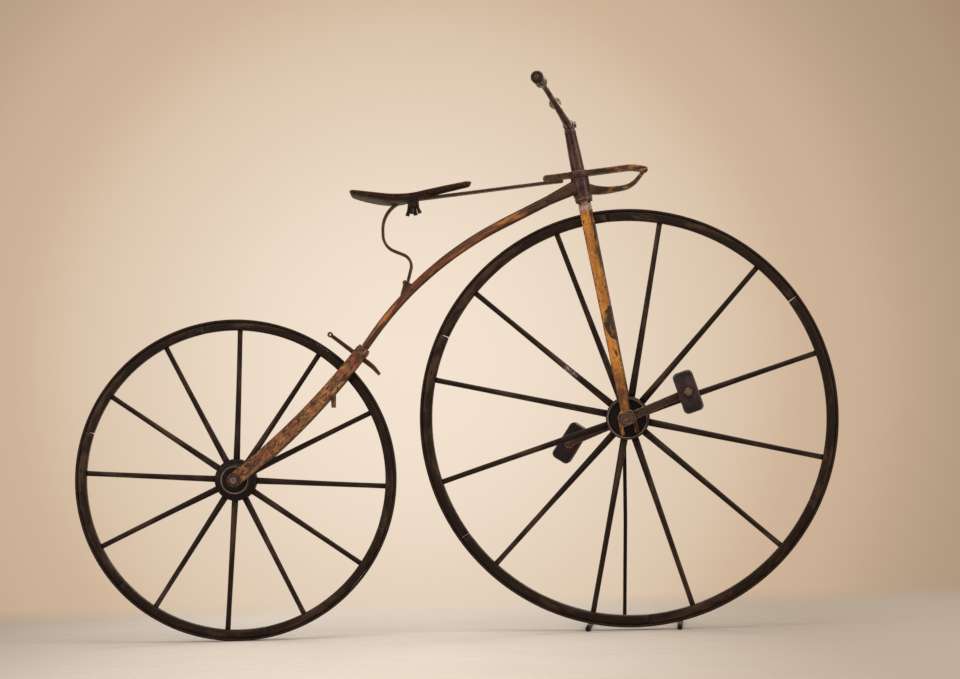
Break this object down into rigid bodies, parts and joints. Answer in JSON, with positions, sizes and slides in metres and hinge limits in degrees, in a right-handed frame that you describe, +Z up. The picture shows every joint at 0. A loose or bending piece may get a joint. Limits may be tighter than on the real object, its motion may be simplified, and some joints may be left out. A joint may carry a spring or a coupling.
{
  "type": "velocipede on a display stand",
  "caption": "Front-driven velocipede with wooden spoked wheels, iron tyres, sprung saddle and raked steering, held upright by a small display stand.",
  "frame": {"origin": "on the floor, at the middle of the part's bounding box", "axes": "+X forward, +Y to the rider's left, +Z up"},
  "size_m": [1.7593, 0.5698, 1.2718],
  "materials": {
    "iron_tyre": "worn dark iron",
    "wheel_wood": "dark satin varnish",
    "hub_iron": "worn black paint",
    "crank_iron": "worn brown iron",
    "pedal_wood": "worn black paint",
    "fork_paint": "worn ochre paint",
    "head_iron": "worn dark brown paint",
    "grip_wood": "dark polished wood",
    "ferrule": "pale worn metal",
    "frame_paint": "worn red-brown paint",
    "frame_iron": "dark worn iron",
    "saddle_leather": "old dark leather",
    "saddle_iron": "dark iron",
    "stand_black": "satin black paint"
  },
  "bodies": {
    "steering": {"fork_crown": "fork_paint", "fork_blade_right": "fork_paint", "fork_blade_left": "fork_paint", "steering_column": "head_iron", "handlebar_lug": "head_iron", "handlebar_bolt": "head_iron", "handlebar": "head_iron", "grip_right": "grip_wood", "grip_left": "grip_wood", "grip_ferrule_right": "ferrule", "grip_ferrule_left": "ferrule", "stand_prong_front": "stand_black", "stand_prong_rear": "stand_black", "stand_crossbar": "stand_black", "stand_upright": "stand_black", "stand_cradle": "stand_black"},
    "front_wheel": {"front_tyre": "iron_tyre", "front_felloes": "wheel_wood", "front_spokes": "wheel_wood", "front_hub": "wheel_wood", "front_hub_hoops": "hub_iron", "front_axle": "crank_iron", "crank_right": "crank_iron", "pedal_pin_right": "crank_iron", "pedal_nut_right": "crank_iron", "crank_left": "crank_iron", "pedal_pin_left": "crank_iron", "pedal_nut_left": "crank_iron"},
    "pedal_right": {"pedal_right": "pedal_wood"},
    "pedal_left": {"pedal_left": "pedal_wood"},
    "rear_wheel": {"rear_tyre": "iron_tyre", "rear_felloes": "wheel_wood", "rear_spokes": "wheel_wood", "rear_hub": "wheel_wood", "rear_hub_hoops": "hub_iron"},
    "frame": {"spring_arm": "head_iron", "backbone": "frame_paint", "scroll_arm": "head_iron", "rear_crown": "frame_paint", "rear_leg_left": "frame_paint", "rear_leg_right": "frame_paint", "rear_axle": "frame_iron", "rear_axle_nuts": "frame_iron", "leaf_spring": "frame_iron", "spring_bracket": "frame_iron", "saddle_leather": "saddle_leather", "saddle_pan": "saddle_iron", "saddle_clamp": "saddle_leather", "saddle_lacing": "saddle_leather", "brake_lever": "frame_iron", "brake_pivot": "frame_iron", "step_peg": "frame_paint"}
  },
  "joints": [
    {"name": "steering", "type": "hinge", "parent": "steering", "child": "frame", "pos_m": [0.39788, -0.00334, 0.4886], "axis": [-0.1702, 0, 0.9854], "range_deg": [-40.2, 29.8]},
    {"name": "front_wheel_spin", "type": "hinge", "parent": "steering", "child": "front_wheel", "pos_m": [0.39788, -0.00334, 0.4886], "axis": [0.0893, 0.9959, 0.0154], "continuous": true},
    {"name": "pedal_right_spin", "type": "hinge", "parent": "front_wheel", "child": "pedal_right", "pos_m": [0.52626, -0.15006, 0.54338], "axis": [0.0893, 0.9959, 0.0154], "continuous": true},
    {"name": "pedal_left_spin", "type": "hinge", "parent": "front_wheel", "child": "pedal_left", "pos_m": [0.2695, 0.14337, 0.43383], "axis": [0.0893, 0.9959, 0.0154], "continuous": true},
    {"name": "rear_wheel_spin", "type": "hinge", "parent": "frame", "child": "rear_wheel", "pos_m": [-0.5097, -0.00334, 0.37], "axis": [0, 1, 0], "continuous": true}
  ]
}
